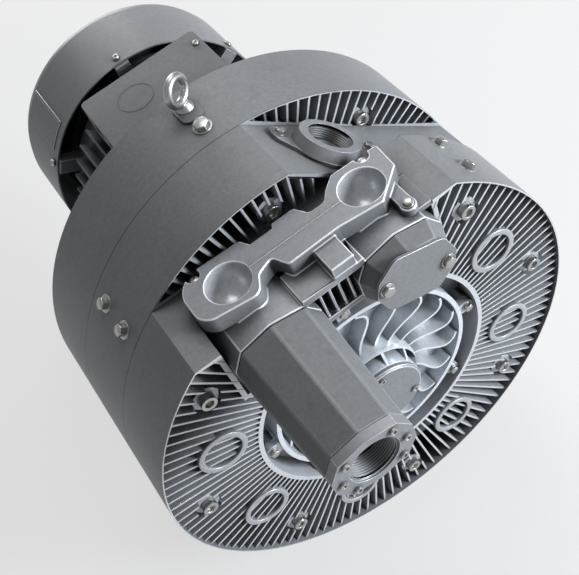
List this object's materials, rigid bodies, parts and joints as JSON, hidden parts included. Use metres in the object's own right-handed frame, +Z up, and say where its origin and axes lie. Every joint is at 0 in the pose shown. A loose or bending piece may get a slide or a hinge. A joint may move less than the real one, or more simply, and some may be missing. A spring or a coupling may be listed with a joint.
{
  "type": "side channel blower",
  "caption": "Side channel blower with finned round castings, flange motor, threaded silencer port and side port, on two feet.",
  "frame": {"origin": "on the ground, in the middle of the four foot holes", "axes": "+Z up; the rotor axis is parallel to Y, 275 mm above the ground, and the open finned front looks along -Y"},
  "size_m": [0.48, 0.735, 0.5575],
  "materials": {
    "silver_casting": "satin aluminium-coloured paint on die castings",
    "grey_casting": "matte grey paint",
    "machined_steel": "turned and ground",
    "bare_aluminium": "as cast, turned faces",
    "plated_screw": "zinc plated",
    "seal_rubber": "matte",
    "gasket_sheet": "matte fibre sheet",
    "foam_liner": "open foam",
    "core_iron": "stacked sheets",
    "copper_winding": "varnished wire",
    "black_plastic": "moulded"
  },
  "bodies": {
    "housing": {"front_casing": "silver_casting", "front_cover": "silver_casting", "hub_cap": "silver_casting", "manifold": "silver_casting", "silencer_housing": "silver_casting", "silencer_end_flange": "silver_casting", "blanked_neck": "silver_casting", "neck_cover": "silver_casting", "side_port_flange": "silver_casting", "middle_casing": "silver_casting", "rear_casing": "grey_casting", "motor_frame": "grey_casting", "motor_end_shield": "grey_casting", "fan_cowl": "grey_casting", "terminal_box": "grey_casting", "left_foot": "grey_casting", "right_foot": "grey_casting", "terminal_box_lid": "grey_casting", "bearing_outer_rings": "machined_steel", "bearing_balls": "machined_steel", "casing_screws": "plated_screw", "cover_screws": "plated_screw", "silencer_screws": "plated_screw", "neck_cover_screws": "plated_screw", "manifold_screws": "plated_screw", "side_port_screws": "plated_screw", "skirt_screws": "plated_screw", "hub_cap_screws": "plated_screw", "top_seam_screw": "plated_screw", "cowl_screws": "plated_screw", "lid_screws": "plated_screw", "foot_screws": "plated_screw", "motor_flange_screws": "plated_screw", "lifting_eye": "plated_screw", "shaft_seal": "seal_rubber", "duct_gaskets": "gasket_sheet", "silencer_liner": "foam_liner", "stator_core": "core_iron", "stator_windings": "copper_winding"},
    "rotor": {"rotor_shaft": "machined_steel", "impeller_keys": "machined_steel", "front_sleeve": "machined_steel", "rear_sleeve": "machined_steel", "impeller_spacer": "machined_steel", "lock_nut": "machined_steel", "bearing_inner_rings": "machined_steel", "front_impeller": "bare_aluminium", "rear_impeller": "bare_aluminium", "rotor_core": "core_iron", "cooling_fan": "black_plastic"}
  },
  "joints": [
    {"name": "rotor_spin", "type": "hinge", "parent": "housing", "child": "rotor", "pos_m": [0, 0, 0.275], "axis": [0, 1, 0], "continuous": true}
  ]
}
